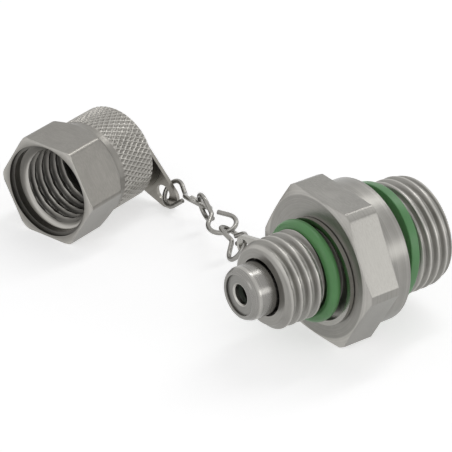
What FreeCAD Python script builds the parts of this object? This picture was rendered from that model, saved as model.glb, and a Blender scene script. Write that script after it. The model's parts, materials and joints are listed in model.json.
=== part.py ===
import FreeCAD, Part
import math
import os

import Sketcher

# Test point coupling with its protective cap unscrewed and held by a short chain.
# The origin lies on the fitting's axis at the sealing face of the flange. +X runs from the
# nose to the stud, +Y towards the cap, +Z up. The hexagon and the cap's nut end lie on a flat.

SIZES = {
    "flange_thickness": (4.15, "flange behind the hexagon"),
    "flange_radius": (13.2, "flange"),
    "edge_break": (0.25, "broken edges of flange and hexagon"),
    "hex_length": (6.6, "hexagon of the body"),
    "hex_across_flats": (26.7, "spanner size 27 of the body, low in its tolerance"),
    "hex_corner_radius": (14.98, "turned corners of the hexagon"),
    "hex_face_radius": (13.15, "flat front face of the hexagon"),
    "hex_chamfer_length": (0.49, "chamfer on the front corners of the hexagon"),
    "collar_length": (1.05, "collar that carries the chain ring"),
    "collar_radius": (7.65, "collar"),
    "dust_groove_length": (2.6, "groove of the dust ring"),
    "dust_groove_radius": (6.95, "bottom of that groove"),
    "test_thread_length": (8.25, "M16 x 2 test thread"),
    "test_thread_radius": (7.95, "crests of the test thread"),
    "thread_lead_in": (1.0, "chamfer at the front of the test thread"),
    "relief_length": (4.5, "thread relief of the stud"),
    "relief_radius": (9.3, "thread relief of the stud"),
    "stud_thread_length": (7.68, "G 1/2 A stud thread"),
    "stud_thread_radius": (10.336, "crests of the stud thread, low in their tolerance"),
    "stud_lead_in": (1.68, "chamfer at the stud's end, along the axis"),
    "stud_lead_depth": (0.543, "chamfer at the stud's end, on the radius"),
    "seal_groove_depth": (1.05, "face groove of the port seal"),
    "seal_groove_radius": (11.75, "outer wall of that groove"),
    "port_bore_radius": (4.5, "bore in the stud"),
    "port_bore_depth": (17.0, "depth of that bore from the stud's end"),
    "passage_radius": (2.2, "passage from the valve to the port bore"),
    "drill_cone": (1.3, "length of the drill point between the two"),
    "nose_gap_radius": (5.26, "counterbore round the nose"),
    "nose_gap_depth": (1.85, "depth of the counterbore, down to the insert's seat"),
    "insert_bore_radius": (4.25, "bore that holds the insert"),
    "insert_bore_depth": (13.95, "depth of that bore from the front face"),
    "nose_reach": (4.89, "nose in front of the test thread"),
    "nose_radius": (4.87, "nose of the insert"),
    "nose_rounding": (0.75, "rounded rim of the nose"),
    "lip_radius": (3.66, "opening inside the rolled lip"),
    "lip_thickness": (0.4, "rolled lip that holds the nose disc"),
    "seal_pocket_radius": (4.0, "pocket of disc and probe seal"),
    "insert_clearance": (0.05, "insert in its bore, on the radius"),
    "spring_bore_radius": (3.2, "bore of head, spring and seat"),
    "guide_radius": (1.56, "guide bore of the valve pin"),
    "guide_length": (2.4, "guide bore of the valve pin"),
    "disc_thickness": (1.0, "nose disc"),
    "disc_hole_radius": (1.78, "probe hole in the nose disc"),
    "seal_play": (0.05, "play of loose discs and seals"),
    "probe_seal_section": (0.8, "section radius of the probe seal"),
    "pin_clearance": (0.06, "pin in its guide, on the radius"),
    "pin_tip_reach": (0.5, "pin in front of its guide"),
    "pin_flat": (1.15, "flow flats on the pin, from its axis"),
    "pin_head_clearance": (0.3, "head in the spring bore, on the radius"),
    "pin_head_length": (2.05, "head of the pin"),
    "pin_spigot_radius": (1.4, "spigot inside the spring"),
    "pin_spigot_length": (2.0, "spigot inside the spring"),
    "pin_seal_section": (0.5, "section radius of the pin seal"),
    "spring_wire": (0.4, "wire radius of the spring"),
    "spring_turns": (4.5, "turns of the spring"),
    "seat_thickness": (0.9, "spring seat"),
    "seat_hole_radius": (0.55, "flow holes in the spring seat"),
    "seat_hole_circle": (1.9, "circle of those holes"),
    "ring_thickness": (0.7, "retaining ring"),
    "ring_groove_depth": (0.3, "groove of the retaining ring"),
    "ring_width": (0.7, "radial width of the retaining ring"),
    "ring_lip": (0.5, "insert behind the ring groove"),
    "insert_seal_section": (0.58, "section radius of the insert seal"),
    "port_seal_inner": (9.65, "port seal, a loose ring"),
    "port_seal_outer": (11.4, "port seal"),
    "port_seal_height": (1.98, "port seal along its own axis"),
    "port_seal_gap": (0.94, "port seal in front of the sealing face, at the axis"),
    "port_seal_tilt_angle": (8.8, "port seal out of square, degrees"),
    "port_seal_lean_angle": (14.9, "line it is tilted about, from +Y towards +Z, degrees"),
    "dust_ring_section": (1.2, "section radius of the dust ring"),
    "chain_ring_clearance": (0.08, "chain ring on its collar, on the radius"),
    "chain_ring_gap": (0.15, "chain ring to the hexagon"),
    "chain_ring_radius": (9.8, "chain ring"),
    "chain_ring_aside": (1.15, "loose chain ring off the axis, away from the cap"),
    "chain_ring_drop": (0.15, "loose chain ring below the axis"),
    "plate_thickness": (0.8, "chain ring and lug"),
    "ear_reach": (20.768, "hole of the ear, from the ring's middle"),
    "ear_arm_width": (5.2, "ear where it leaves the ring"),
    "ear_tip_radius": (2.2, "rounded end of the ear"),
    "ear_fillet": (1.0, "ear where it leaves the ring"),
    "ear_angle": (-13.085, "ear's direction from +Y towards +Z, degrees"),
    "chain_hole_radius": (1.55, "holes for the chain in ear and lug"),
    "cap_across_flats": (19.0, "spanner size of the cap"),
    "cap_hex_length": (8.58, "nut end up to its rear chamfer"),
    "cap_hex_runout": (1.75, "rear chamfer of the nut end"),
    "cap_corner_radius": (10.87, "corners of the nut end"),
    "cap_front_chamfer": (0.35, "front chamfer on the corners"),
    "cap_neck_radius": (9.1, "neck between nut end and knurl"),
    "cap_neck_end": (12.0, "start of the knurled barrel, from the mouth"),
    "cap_knurl_radius": (9.246, "knurled barrel"),
    "cap_length": (20.235, "mouth to the end of the barrel"),
    "cap_end_chamfer": (0.4, "chamfer of the barrel"),
    "cap_boss_radius": (4.9, "boss under the lug"),
    "cap_boss_length": (2.065, "boss under the lug"),
    "cap_mouth_radius": (9.0, "counterbore of the mouth"),
    "cap_mouth_depth": (0.9, "counterbore of the mouth"),
    "cap_band_radius": (8.45, "smooth band that closes on the dust ring"),
    "cap_band_end": (2.3, "end of the smooth band, from the mouth"),
    "cap_thread_radius": (6.918, "crests of the cap's M16 x 2 thread"),
    "cap_thread_end": (13.2, "end of that thread, from the mouth"),
    "cap_undercut_radius": (8.1, "undercut behind the thread"),
    "cap_depth": (15.9, "mouth to the bottom of the cap"),
    "cap_seal_thickness": (1.2, "seal in the bottom of the cap"),
    "lug_gap": (0.1, "play of the lug between boss and rivet head"),
    "lug_radius": (5.2, "disc of the lug"),
    "lug_tip_radius": (2.5, "rounded end of the lug"),
    "lug_tip_reach": (12.69, "centre of that end, from the cap's axis"),
    "lug_hole_reach": (11.62, "chain hole of the lug, from the cap's axis"),
    "rivet_radius": (1.6, "shank of the rivet"),
    "rivet_depth": (3.2, "rivet in the boss"),
    "rivet_clearance": (0.1, "lug on the rivet, on the radius"),
    "rivet_head_radius": (3.2, "head of the rivet"),
    "rivet_head_height": (1.1, "head of the rivet"),
    "cap_turn_angle": (15.567, "cap's axis from +X towards +Y, degrees"),
    "wire_radius": (0.45, "wire of the chain links"),
    "link_length": (12.002, "link between the wire's centre lines"),
    "link_waist": (5.918, "waist from the first eye's end"),
    "first_eye_radius": (2.491, "eye towards the cap"),
    "second_eye_radius": (2.596, "eye towards the fitting"),
    "first_eye_offset": (0.923, "first eye beside the link's axis"),
    "second_eye_offset": (0.49, "second eye beside the link's axis"),
    "wire_end_gap": (1.157, "cut end beside the waist"),
    "wire_end_back": (0.1, "cut end short of the waist"),
    "waist_bend": (1.1, "bend radius at the waist"),
    "wire_contact": (1.03, "centre to centre where two links hang in each other"),
    "hole_contact": (0.55, "wire centre from the ear hole's centre"),
    "lug_contact": (0.28, "wire centre from the lug hole's centre"),
    "ring_link_yaw_angle": (-115.6, "link at the ring, degrees"),
    "ring_link_pitch_angle": (-5.68, "link at the ring, degrees"),
    "ring_link_roll_angle": (145.21, "link at the ring, degrees"),
    "ring_link_in_ear_angle": (-29.62, "place on the second eye that lies in the ear, degrees"),
    "ring_link_on_middle_angle": (20.64, "place on the first eye that holds the next link, degrees"),
    "middle_link_on_ring_angle": (-3.52, "place on the second eye that holds the last link, degrees"),
    "middle_link_turn_angle": (43.34, "turn about that place, degrees"),
    "middle_link_on_cap_angle": (-21.26, "place on the first eye that holds the next link, degrees"),
    "cap_link_on_middle_angle": (15.26, "place on the second eye that holds the last link, degrees"),
    "cap_link_turn_angle": (43.58, "turn about that place, degrees"),
    "cap_link_in_lug_angle": (-16.18, "place on the first eye that lies in the lug, degrees"),
}

X_AXIS = FreeCAD.Vector(1, 0, 0)
Y_AXIS = FreeCAD.Vector(0, 1, 0)
Z_AXIS = FreeCAD.Vector(0, 0, 1)
ALONG_X = FreeCAD.Rotation(Y_AXIS, 90)
FULL_TURN = 360
RETAINING_RING_ARC = 300
SEAT_HOLES = 6
RIVET_ROUNDING = 0.8
SPRING_FACE_TURNS = 0.25

doc = FreeCAD.newDocument("test_point_coupling")
sheet = doc.addObject("Spreadsheet::Sheet", "Sizes")
for row, (alias, (number, words)) in enumerate(SIZES.items(), start=1):
    sheet.set(f"A{row}", alias)
    sheet.set(f"B{row}", str(number))
    sheet.set(f"C{row}", words)
    sheet.setAlias(f"B{row}", alias)
doc.recompute()


class Size:
    """A length or angle that keeps the sheet expression it comes from."""

    def __init__(self, value, text):
        self.value = value
        self.text = text

    def __neg__(self):
        return Size(-self.value, f"(-{self.text})")

    def __add__(self, other):
        other = as_size(other)
        return Size(self.value + other.value, f"({self.text} + {other.text})")

    def __sub__(self, other):
        other = as_size(other)
        return Size(self.value - other.value, f"({self.text} - {other.text})")

    def __mul__(self, other):
        other = as_size(other)
        return Size(self.value * other.value, f"({self.text} * {other.text})")

    def __truediv__(self, other):
        other = as_size(other)
        return Size(self.value / other.value, f"({self.text} / {other.text})")


def as_size(value):
    """Wrap a plain number as a size."""
    if isinstance(value, Size):
        return value
    return Size(value, repr(float(value)))


def size(alias):
    """The sheet's value under a name, with its expression."""
    return Size(float(sheet.get(alias)), f"Sizes.{alias}")


def root(value):
    """Square root of a size."""
    return Size(math.sqrt(value.value), f"sqrt({value.text})")


def origin_plane(body, role):
    """One of a body's own three origin planes."""
    for feature in body.Origin.OriginFeatures:
        if feature.Role == role:
            return feature
    raise ValueError(role)


def new_body(label):
    """A body that becomes one sub-part."""
    body = doc.addObject("PartDesign::Body", label)
    body.Label = label
    return body


def new_sketch(body, name, role, offset=None):
    """A sketch on one of the body's origin planes, moved along that plane's normal."""
    sketch = body.newObject("Sketcher::SketchObject", f"{body.Label}_{name}")
    sketch.AttachmentSupport = (origin_plane(body, role), [""])
    sketch.MapMode = "FlatFace"
    if offset is not None:
        sketch.setExpression("AttachmentOffset.Base.z", offset.text)
    return sketch


def pin_point(sketch, geometry, point, x, y):
    """Hold a sketch point at two sizes from the sketch's origin."""
    for kind, distance, axis in (("DistanceX", x, -2), ("DistanceY", y, -1)):
        if distance.value == 0:
            sketch.addConstraint(Sketcher.Constraint("PointOnObject", geometry, point, axis))
            continue
        constraint = Sketcher.Constraint(kind, -1, 1, geometry, point, distance.value)
        index = sketch.addConstraint(constraint)
        sketch.setExpression(f"Constraints[{index}]", distance.text)


def draw_outline(sketch, points):
    """A closed outline of straight lines through the given points."""
    points = [(as_size(x), as_size(y)) for x, y in points]
    corners = [FreeCAD.Vector(x.value, y.value, 0) for x, y in points]
    first = sketch.GeometryCount
    for index, start in enumerate(corners):
        end = corners[(index + 1) % len(corners)]
        sketch.addGeometry(Part.LineSegment(start, end), False)
    for index in range(len(corners)):
        following = first + (index + 1) % len(corners)
        sketch.addConstraint(Sketcher.Constraint("Coincident", first + index, 2, following, 1))
    for index, (x, y) in enumerate(points, start=first):
        pin_point(sketch, index, 1, x, y)


def draw_circle(sketch, radius, x=0, y=0):
    """A circle of a given radius about a point of the sketch."""
    x, y = as_size(x), as_size(y)
    centre = FreeCAD.Vector(x.value, y.value, 0)
    circle = sketch.addGeometry(Part.Circle(centre, FreeCAD.Vector(0, 0, 1), radius.value), False)
    index = sketch.addConstraint(Sketcher.Constraint("Radius", circle, radius.value))
    sketch.setExpression(f"Constraints[{index}]", radius.text)
    if x.value == 0 and y.value == 0:
        sketch.addConstraint(Sketcher.Constraint("Coincident", circle, 3, -1, 1))
    else:
        pin_point(sketch, circle, 3, x, y)


def turned(body, name, points, kind="PartDesign::Revolution"):
    """Turn an outline of (x, radius) points about the X axis."""
    sketch = new_sketch(body, f"{name}_outline", "XY_Plane")
    draw_outline(sketch, points)
    feature = body.newObject(kind, f"{body.Label}_{name}")
    feature.Profile = sketch
    feature.ReferenceAxis = (sketch, ["H_Axis"])
    feature.Angle = FULL_TURN
    return feature


def grooved(body, name, points):
    """Cut a turned outline of (x, radius) points out of the body."""
    return turned(body, name, points, "PartDesign::Groove")


def padded(body, sketch, name, length):
    """Pad a sketch along +X."""
    pad = body.newObject("PartDesign::Pad", f"{body.Label}_{name}")
    pad.Profile = sketch
    pad.setExpression("Length", length.text)
    return pad


def pocketed(body, sketch, name, length):
    """Cut a sketch out of the body along +X."""
    pocket = body.newObject("PartDesign::Pocket", f"{body.Label}_{name}")
    pocket.Profile = sketch
    pocket.Reversed = True
    pocket.setExpression("Length", length.text)
    return pocket


def hexagon(body, name, across_flats, front, length):
    """Pad a hexagon with a flat at the bottom, from its front face along +X."""
    sketch = new_sketch(body, f"{name}_outline", "YZ_Plane", front)
    half = across_flats / 2
    side = across_flats / root(as_size(3))
    corners = [(side / 2, half), (side, 0), (side / 2, -half)]
    corners += [(-side / 2, -half), (-side, 0), (-side / 2, half)]
    draw_outline(sketch, corners)
    return padded(body, sketch, name, length)


def o_ring(label, centre, radius, section):
    """A round-section ring about the X axis."""
    ring = doc.addObject("Part::Torus", label)
    ring.Label = label
    ring.Placement = FreeCAD.Placement(X_AXIS * centre.value, ALONG_X)
    ring.setExpression("Placement.Base.x", centre.text)
    ring.setExpression("Radius1", radius.text)
    ring.setExpression("Radius2", section.text)
    return ring


def rounded(body, name, radius, wanted):
    """Round the edges of the body's last feature that a test picks."""
    doc.recompute()
    tip = body.Tip
    edges = [f"Edge{index}" for index, edge in enumerate(tip.Shape.Edges, start=1) if wanted(edge)]
    fillet = body.newObject("PartDesign::Fillet", f"{body.Label}_{name}")
    fillet.Base = (tip, edges)
    fillet.setExpression("Radius", radius.text)
    return fillet


def circle_at(position, radius):
    """A test for a full circle about X at a position and radius."""
    def wanted(edge):
        if not isinstance(edge.Curve, Part.Circle) or not edge.isClosed():
            return False
        same_place = abs(edge.Curve.Center.x - position.value) < 1e-4
        return same_place and abs(edge.Curve.Radius - radius.value) < 1e-4
    return wanted


# Stations along the axis, counted back from the sealing face.
hex_back = -size("flange_thickness")
hex_front = hex_back - size("hex_length")
collar_front = hex_front - size("collar_length")
thread_back = collar_front - size("dust_groove_length")
front_face = thread_back - size("test_thread_length")
stud_start = size("relief_length")
stud_end = stud_start + size("stud_thread_length")
insert_seat = front_face + size("nose_gap_depth")
insert_bore_end = front_face + size("insert_bore_depth")
port_bore_end = stud_end - size("port_bore_depth")
insert_end = insert_bore_end - size("insert_seal_section") * 2 - size("seal_play")
nose_tip = front_face - size("nose_reach")
lip_back = nose_tip + size("lip_thickness")
disc_front = lip_back + size("seal_play")
disc_back = disc_front + size("disc_thickness")
probe_seal_middle = disc_back + size("seal_play") + size("probe_seal_section")
guide_front = probe_seal_middle + size("probe_seal_section") + size("seal_play")
valve_seat = guide_front + size("guide_length")
pin_seal_middle = valve_seat + size("seal_play") + size("pin_seal_section")
head_front = pin_seal_middle + size("pin_seal_section")
head_back = head_front + size("pin_head_length")
ring_groove_back = insert_end - size("ring_lip")
ring_groove_front = ring_groove_back - size("ring_thickness") - size("seal_play") * 2
seat_front = ring_groove_front - size("seat_thickness")


def make_coupling_body():
    """The turned body with its two threads, hexagon, flange and through passage."""
    body = new_body("coupling_body")
    lead_in = size("thread_lead_in")
    crest = size("test_thread_radius")
    groove = size("dust_groove_radius")
    collar = size("collar_radius")
    flange = size("flange_radius")
    edge = size("edge_break")
    relief = size("relief_radius")
    stud = size("stud_thread_radius")
    turned(body, "turning", [
        (front_face, 0),
        (front_face, crest - lead_in),
        (front_face + lead_in, crest),
        (thread_back, crest),
        (thread_back, groove),
        (collar_front, groove),
        (collar_front, collar - edge),
        (collar_front + edge, collar),
        (hex_back, collar),
        (hex_back, flange - edge),
        (hex_back + edge, flange),
        (-edge, flange),
        (0, flange - edge),
        (0, relief),
        (stud_start, relief),
        (stud_start, stud - edge * 2),
        (stud_start + edge * 2, stud),
        (stud_end - size("stud_lead_in"), stud),
        (stud_end, stud - size("stud_lead_depth")),
        (stud_end, 0),
    ])
    hexagon(body, "hexagon", size("hex_across_flats"), hex_front, size("hex_length"))
    corner = size("hex_corner_radius")
    face = size("hex_face_radius")
    outside = size("hex_across_flats")
    grooved(body, "corner_turning", [
        (hex_front, face),
        (hex_front, outside),
        (hex_back, outside),
        (hex_back, corner),
        (hex_front + size("hex_chamfer_length"), corner),
    ])
    grooved(body, "passage", [
        (front_face, 0),
        (front_face, size("nose_gap_radius")),
        (insert_seat, size("nose_gap_radius")),
        (insert_seat, size("insert_bore_radius")),
        (insert_bore_end, size("insert_bore_radius")),
        (insert_bore_end, size("passage_radius")),
        (port_bore_end - size("drill_cone"), size("passage_radius")),
        (port_bore_end, size("port_bore_radius")),
        (stud_end, size("port_bore_radius")),
        (stud_end, 0),
    ])
    grooved(body, "seal_groove", [
        (-size("seal_groove_depth"), relief),
        (-size("seal_groove_depth"), size("seal_groove_radius")),
        (0, size("seal_groove_radius")),
        (0, relief),
    ])
    return body


def make_valve_insert():
    """The sleeve screwed into the body: nose, guide, valve seat and spring bore."""
    body = new_body("valve_insert")
    outer = size("insert_bore_radius") - size("insert_clearance")
    nose = size("nose_radius")
    spring_bore = size("spring_bore_radius")
    ring_groove = spring_bore + size("ring_groove_depth")
    turned(body, "turning", [
        (nose_tip, size("lip_radius")),
        (nose_tip, nose),
        (insert_seat, nose),
        (insert_seat, outer),
        (insert_end, outer),
        (insert_end, spring_bore),
        (ring_groove_back, spring_bore),
        (ring_groove_back, ring_groove),
        (ring_groove_front, ring_groove),
        (ring_groove_front, spring_bore),
        (valve_seat, spring_bore),
        (valve_seat, size("guide_radius")),
        (guide_front, size("guide_radius")),
        (guide_front, size("seal_pocket_radius")),
        (lip_back, size("seal_pocket_radius")),
        (lip_back, size("lip_radius")),
    ])
    rounded(body, "nose_rim", size("nose_rounding"), circle_at(nose_tip, nose))
    return body


def make_nose_disc():
    """The disc behind the rolled lip, with the hole for the probe."""
    body = new_body("nose_disc")
    rim = size("seal_pocket_radius") - size("seal_play")
    hole = size("disc_hole_radius")
    break_edge = size("edge_break")
    turned(body, "turning", [
        (disc_front, hole + break_edge),
        (disc_front, rim),
        (disc_back, rim),
        (disc_back, hole),
        (disc_front + break_edge, hole),
    ])
    return body


def make_valve_pin():
    """The poppet: stem with flow flats, head and spring spigot."""
    body = new_body("valve_pin")
    stem = size("guide_radius") - size("pin_clearance")
    head = size("spring_bore_radius") - size("pin_head_clearance")
    tip = guide_front - size("pin_tip_reach")
    break_edge = size("edge_break")
    spigot_end = head_back + size("pin_spigot_length")
    turned(body, "turning", [
        (tip, 0),
        (tip, stem - break_edge),
        (tip + break_edge, stem),
        (head_front, stem),
        (head_front, head),
        (head_back, head),
        (head_back, size("pin_spigot_radius")),
        (spigot_end - break_edge, size("pin_spigot_radius")),
        (spigot_end, size("pin_spigot_radius") - break_edge),
        (spigot_end, 0),
    ])
    sketch = new_sketch(body, "flats_outline", "YZ_Plane", tip)
    flat = size("pin_flat")
    beyond = stem + break_edge
    corners = ((flat, -beyond), (beyond, -beyond), (beyond, beyond), (flat, beyond))
    draw_outline(sketch, corners)
    draw_outline(sketch, [(-y, z) for y, z in corners])
    pocketed(body, sketch, "flats", size("guide_length"))
    return body


def make_valve_spring():
    """The spring between the pin's head and its seat."""
    wire = size("spring_wire")
    radius = size("pin_spigot_radius") + wire + size("pin_head_clearance") + size("seal_play") * 2
    start = head_back + wire + size("seal_play")
    finish = seat_front - wire - size("seal_play")
    coil = doc.addObject("Part::Helix", "spring_coil")
    coil.setExpression("Height", (finish - start).text)
    coil.setExpression("Pitch", ((finish - start) / size("spring_turns")).text)
    coil.setExpression("Radius", radius.text)
    coil.SegmentLength = SPRING_FACE_TURNS
    coil.Placement = FreeCAD.Placement(X_AXIS * start.value, ALONG_X)
    coil.setExpression("Placement.Base.x", start.text)
    section = doc.addObject("Part::Circle", "spring_section")
    section.setExpression("Radius", wire.text)
    doc.recompute()
    first = coil.Shape.Edges[0]
    spot = first.valueAt(first.FirstParameter)
    heading = first.tangentAt(first.FirstParameter)
    section.Placement = FreeCAD.Placement(spot, FreeCAD.Rotation(Z_AXIS, heading))
    spring = doc.addObject("Part::Sweep", "valve_spring")
    spring.Label = "valve_spring"
    spring.Sections = [section]
    spring.Spine = (coil, [])
    spring.Solid = True
    spring.Frenet = True
    return spring


def make_spring_seat():
    """The perforated disc that the spring stands on."""
    body = new_body("spring_seat")
    rim = size("spring_bore_radius") - size("seal_play")
    sketch = new_sketch(body, "outline", "YZ_Plane", seat_front)
    draw_circle(sketch, rim)
    draw_circle(sketch, size("seat_hole_radius"))
    padded(body, sketch, "disc", size("seat_thickness"))
    hole_sketch = new_sketch(body, "hole_outline", "YZ_Plane", seat_front)
    draw_circle(hole_sketch, size("seat_hole_radius"), size("seat_hole_circle"))
    hole = pocketed(body, hole_sketch, "hole", size("seat_thickness"))
    pattern = body.newObject("PartDesign::PolarPattern", "spring_seat_holes")
    pattern.Originals = [hole]
    pattern.Axis = (hole_sketch, ["N_Axis"])
    pattern.Angle = FULL_TURN
    pattern.Occurrences = SEAT_HOLES
    body.Tip = pattern
    return body


def make_retaining_ring():
    """The open snap ring in its groove behind the spring seat."""
    outer_radius = size("spring_bore_radius") + size("ring_groove_depth") - size("seal_play")
    front = ring_groove_front + size("seal_play")
    rings = []
    for name, radius in (("ring_outside", outer_radius), ("ring_inside", outer_radius - size("ring_width"))):
        cylinder = doc.addObject("Part::Cylinder", name)
        cylinder.Angle = RETAINING_RING_ARC
        cylinder.setExpression("Radius", radius.text)
        cylinder.setExpression("Height", size("ring_thickness").text)
        cylinder.Placement = FreeCAD.Placement(X_AXIS * front.value, ALONG_X)
        cylinder.setExpression("Placement.Base.x", front.text)
        rings.append(cylinder)
    rings[1].Angle = FULL_TURN
    ring = doc.addObject("Part::Cut", "retaining_ring")
    ring.Label = "retaining_ring"
    ring.Base, ring.Tool = rings
    return ring


def make_port_seal():
    """The green ring, loose on the stud and leaning out of the flange's face groove."""
    body = new_body("port_seal")
    half = size("port_seal_height") / 2
    inner = size("port_seal_inner")
    outer = size("port_seal_outer")
    turned(body, "turning", [(-half, inner), (-half, outer), (half, outer), (half, inner)])
    rounded(body, "rim", size("edge_break"), circle_at(half, outer))
    middle = size("port_seal_gap") + half
    line = FreeCAD.Rotation(X_AXIS, size("port_seal_lean_angle").value).multVec(Y_AXIS)
    tilt = size("port_seal_tilt_angle")
    body.Placement = FreeCAD.Placement(X_AXIS * middle.value, FreeCAD.Rotation(line, tilt.value))
    body.setExpression("Placement.Base.x", middle.text)
    body.setExpression("Placement.Rotation.Angle", tilt.text)
    return body


def draw_plate(body, front, disc, arm, tip_reach, tip, holes):
    """Pad a flat plate of a disc and an arm that ends in a rounded tip, and cut its holes."""
    thickness = size("plate_thickness")
    for name, radius, reach in (("disc", disc, 0), ("tip", tip, tip_reach)):
        if name == "tip":
            sketch = new_sketch(body, "arm_outline", "YZ_Plane", front)
            draw_outline(sketch, arm)
            padded(body, sketch, "arm", thickness)
        sketch = new_sketch(body, f"{name}_outline", "YZ_Plane", front)
        draw_circle(sketch, radius, reach)
        padded(body, sketch, name, thickness)
    for index, (radius, reach) in enumerate(holes):
        sketch = new_sketch(body, f"hole_{index}_outline", "YZ_Plane", front)
        draw_circle(sketch, radius, reach)
        pocketed(body, sketch, f"hole_{index}", thickness)


def make_chain_ring():
    """The flat loose ring round the collar, with the ear for the chain."""
    body = new_body("chain_ring")
    aside, drop = size("chain_ring_aside"), size("chain_ring_drop")
    inner = size("collar_radius") + size("chain_ring_clearance") + root(aside * aside + drop * drop)
    front = hex_front - size("chain_ring_gap") - size("plate_thickness")
    disc = size("chain_ring_radius")
    half_arm = size("ear_arm_width") / 2
    reach = size("ear_reach")
    tip = size("ear_tip_radius")
    start = (disc + inner) / 2
    arm = [(start, -half_arm), (reach, -tip), (reach, tip), (start, half_arm)]
    holes = [(inner, 0), (size("chain_hole_radius"), reach)]
    draw_plate(body, front, disc, arm, reach, tip, holes)

    def inner_corner(edge):
        if not isinstance(edge.Curve, Part.Line) or abs(edge.tangentAt(0).x) < 0.99:
            return False
        middle = edge.CenterOfMass
        return abs(math.hypot(middle.y, middle.z) - disc.value) < 1e-3

    rounded(body, "arm_fillet", size("ear_fillet"), inner_corner)
    body.Placement = FreeCAD.Placement(
        FreeCAD.Vector(0, -aside.value, -drop.value), FreeCAD.Rotation(X_AXIS, size("ear_angle").value))
    body.setExpression("Placement.Base.y", (-aside).text)
    body.setExpression("Placement.Base.z", (-drop).text)
    body.setExpression("Placement.Rotation.Angle", size("ear_angle").text)
    return body


def make_cap_body():
    """The cap: nut end, neck, barrel, boss and threaded inside, along +X from its mouth."""
    body = new_body("cap_body")
    length = size("cap_length")
    boss_end = length + size("cap_boss_length")
    neck = size("cap_neck_radius")
    barrel = size("cap_knurl_radius")
    chamfer = size("cap_end_chamfer")
    neck_end = size("cap_neck_end")
    turned(body, "turning", [
        (0, 0),
        (0, neck),
        (neck_end, neck),
        (neck_end, barrel),
        (length - chamfer, barrel),
        (length, barrel - chamfer),
        (length, size("cap_boss_radius")),
        (boss_end, size("cap_boss_radius")),
        (boss_end, 0),
    ])
    hex_end = size("cap_hex_length") + size("cap_hex_runout")
    hexagon(body, "nut_end", size("cap_across_flats"), as_size(0), hex_end)
    corner = size("cap_corner_radius")
    outside = size("cap_across_flats")
    front_chamfer = size("cap_front_chamfer")
    grooved(body, "corner_turning", [
        (0, corner - front_chamfer * 2),
        (front_chamfer, corner),
        (size("cap_hex_length"), corner),
        (hex_end, neck),
        (hex_end, outside),
        (0, outside),
    ])
    thread = size("cap_thread_radius")
    band = size("cap_band_radius")
    undercut = size("cap_undercut_radius")
    grooved(body, "inside", [
        (0, 0),
        (0, size("cap_mouth_radius")),
        (size("cap_mouth_depth"), size("cap_mouth_radius")),
        (size("cap_mouth_depth"), band),
        (size("cap_band_end"), band),
        (size("cap_band_end") + (band - thread) / 2, thread),
        (size("cap_thread_end"), thread),
        (size("cap_thread_end"), undercut),
        (size("cap_depth"), undercut),
        (size("cap_depth"), 0),
    ])
    grooved(body, "rivet_hole", [
        (boss_end - size("rivet_depth"), 0),
        (boss_end - size("rivet_depth"), size("rivet_radius")),
        (boss_end, size("rivet_radius")),
        (boss_end, 0),
    ])
    return body


def make_cap_seal():
    """The flat seal in the bottom of the cap."""
    body = new_body("cap_seal")
    sketch = new_sketch(body, "outline", "YZ_Plane", size("cap_depth") - size("cap_seal_thickness"))
    draw_circle(sketch, size("cap_undercut_radius") - size("seal_play"))
    padded(body, sketch, "disc", size("cap_seal_thickness"))
    return body


def make_cap_lug():
    """The keyhole plate that swivels on the rivet, its arm along its own +Y."""
    body = new_body("cap_lug")
    front = size("cap_length") + size("cap_boss_length") + size("lug_gap")
    disc = size("lug_radius")
    tip = size("lug_tip_radius")
    reach = size("lug_tip_reach")
    lean = (disc - tip) / reach
    width = root(as_size(1) - lean * lean)
    arm = [
        (disc * lean, -disc * width),
        (reach + tip * lean, -tip * width),
        (reach + tip * lean, tip * width),
        (disc * lean, disc * width),
    ]
    shank_hole = size("rivet_radius") + size("rivet_clearance")
    holes = [(shank_hole, 0), (size("chain_hole_radius"), size("lug_hole_reach"))]
    draw_plate(body, front, disc, arm, reach, tip, holes)
    return body


def make_cap_rivet():
    """The headed rivet that holds the lug on the boss."""
    body = new_body("cap_rivet")
    boss_end = size("cap_length") + size("cap_boss_length")
    head_start = boss_end + size("lug_gap") * 2 + size("plate_thickness")
    head_end = head_start + size("rivet_head_height")
    shank = size("rivet_radius")
    head = size("rivet_head_radius")
    turned(body, "turning", [
        (boss_end - size("rivet_depth"), 0),
        (boss_end - size("rivet_depth"), shank),
        (head_start, shank),
        (head_start, head),
        (head_end, head),
        (head_end, 0),
    ])
    rounded(body, "head_rim", size("rivet_head_height") * RIVET_ROUNDING, circle_at(head_end, head))
    return body


class Eye:
    """One eye of a link: a circle of wire in its own plane beside the link's axis."""

    def __init__(self, centre, radius, inward, side, flank):
        self.centre = centre
        self.radius = radius
        self.inward = inward
        self.side = side
        self.flank = flank

    def place(self, degrees):
        """Wire centre, outward direction, wire tangent and flank at an angle round the eye."""
        angle = math.radians(degrees)
        outward = self.side * math.sin(angle) - self.inward * math.cos(angle)
        tangent = self.side * math.cos(angle) + self.inward * math.sin(angle)
        return self.centre + outward * self.radius, outward, tangent, self.flank


def link_eyes():
    """The link's eye towards the cap and its eye towards the fitting."""
    first_radius = size("first_eye_radius").value
    second_radius = size("second_eye_radius").value
    first = X_AXIS * first_radius - Y_AXIS * size("first_eye_offset").value
    second = X_AXIS * (size("link_length").value - second_radius)
    second = second - Z_AXIS * size("second_eye_offset").value
    return (
        Eye(first, first_radius, X_AXIS, Y_AXIS, Z_AXIS),
        Eye(second, second_radius, -X_AXIS, Z_AXIS, Y_AXIS),
    )


def tangent_spot(centre, radius, spot, side):
    """Where a line from a spot touches a circle, on the chosen side, in the plane of both."""
    away = spot - centre
    across = side - away * (side.dot(away) / away.dot(away))
    reach = away.Length
    ahead = away.normalize() * (radius * radius / reach)
    return centre + ahead + across.normalize() * (radius * math.sqrt(1 - (radius / reach) ** 2))


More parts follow.
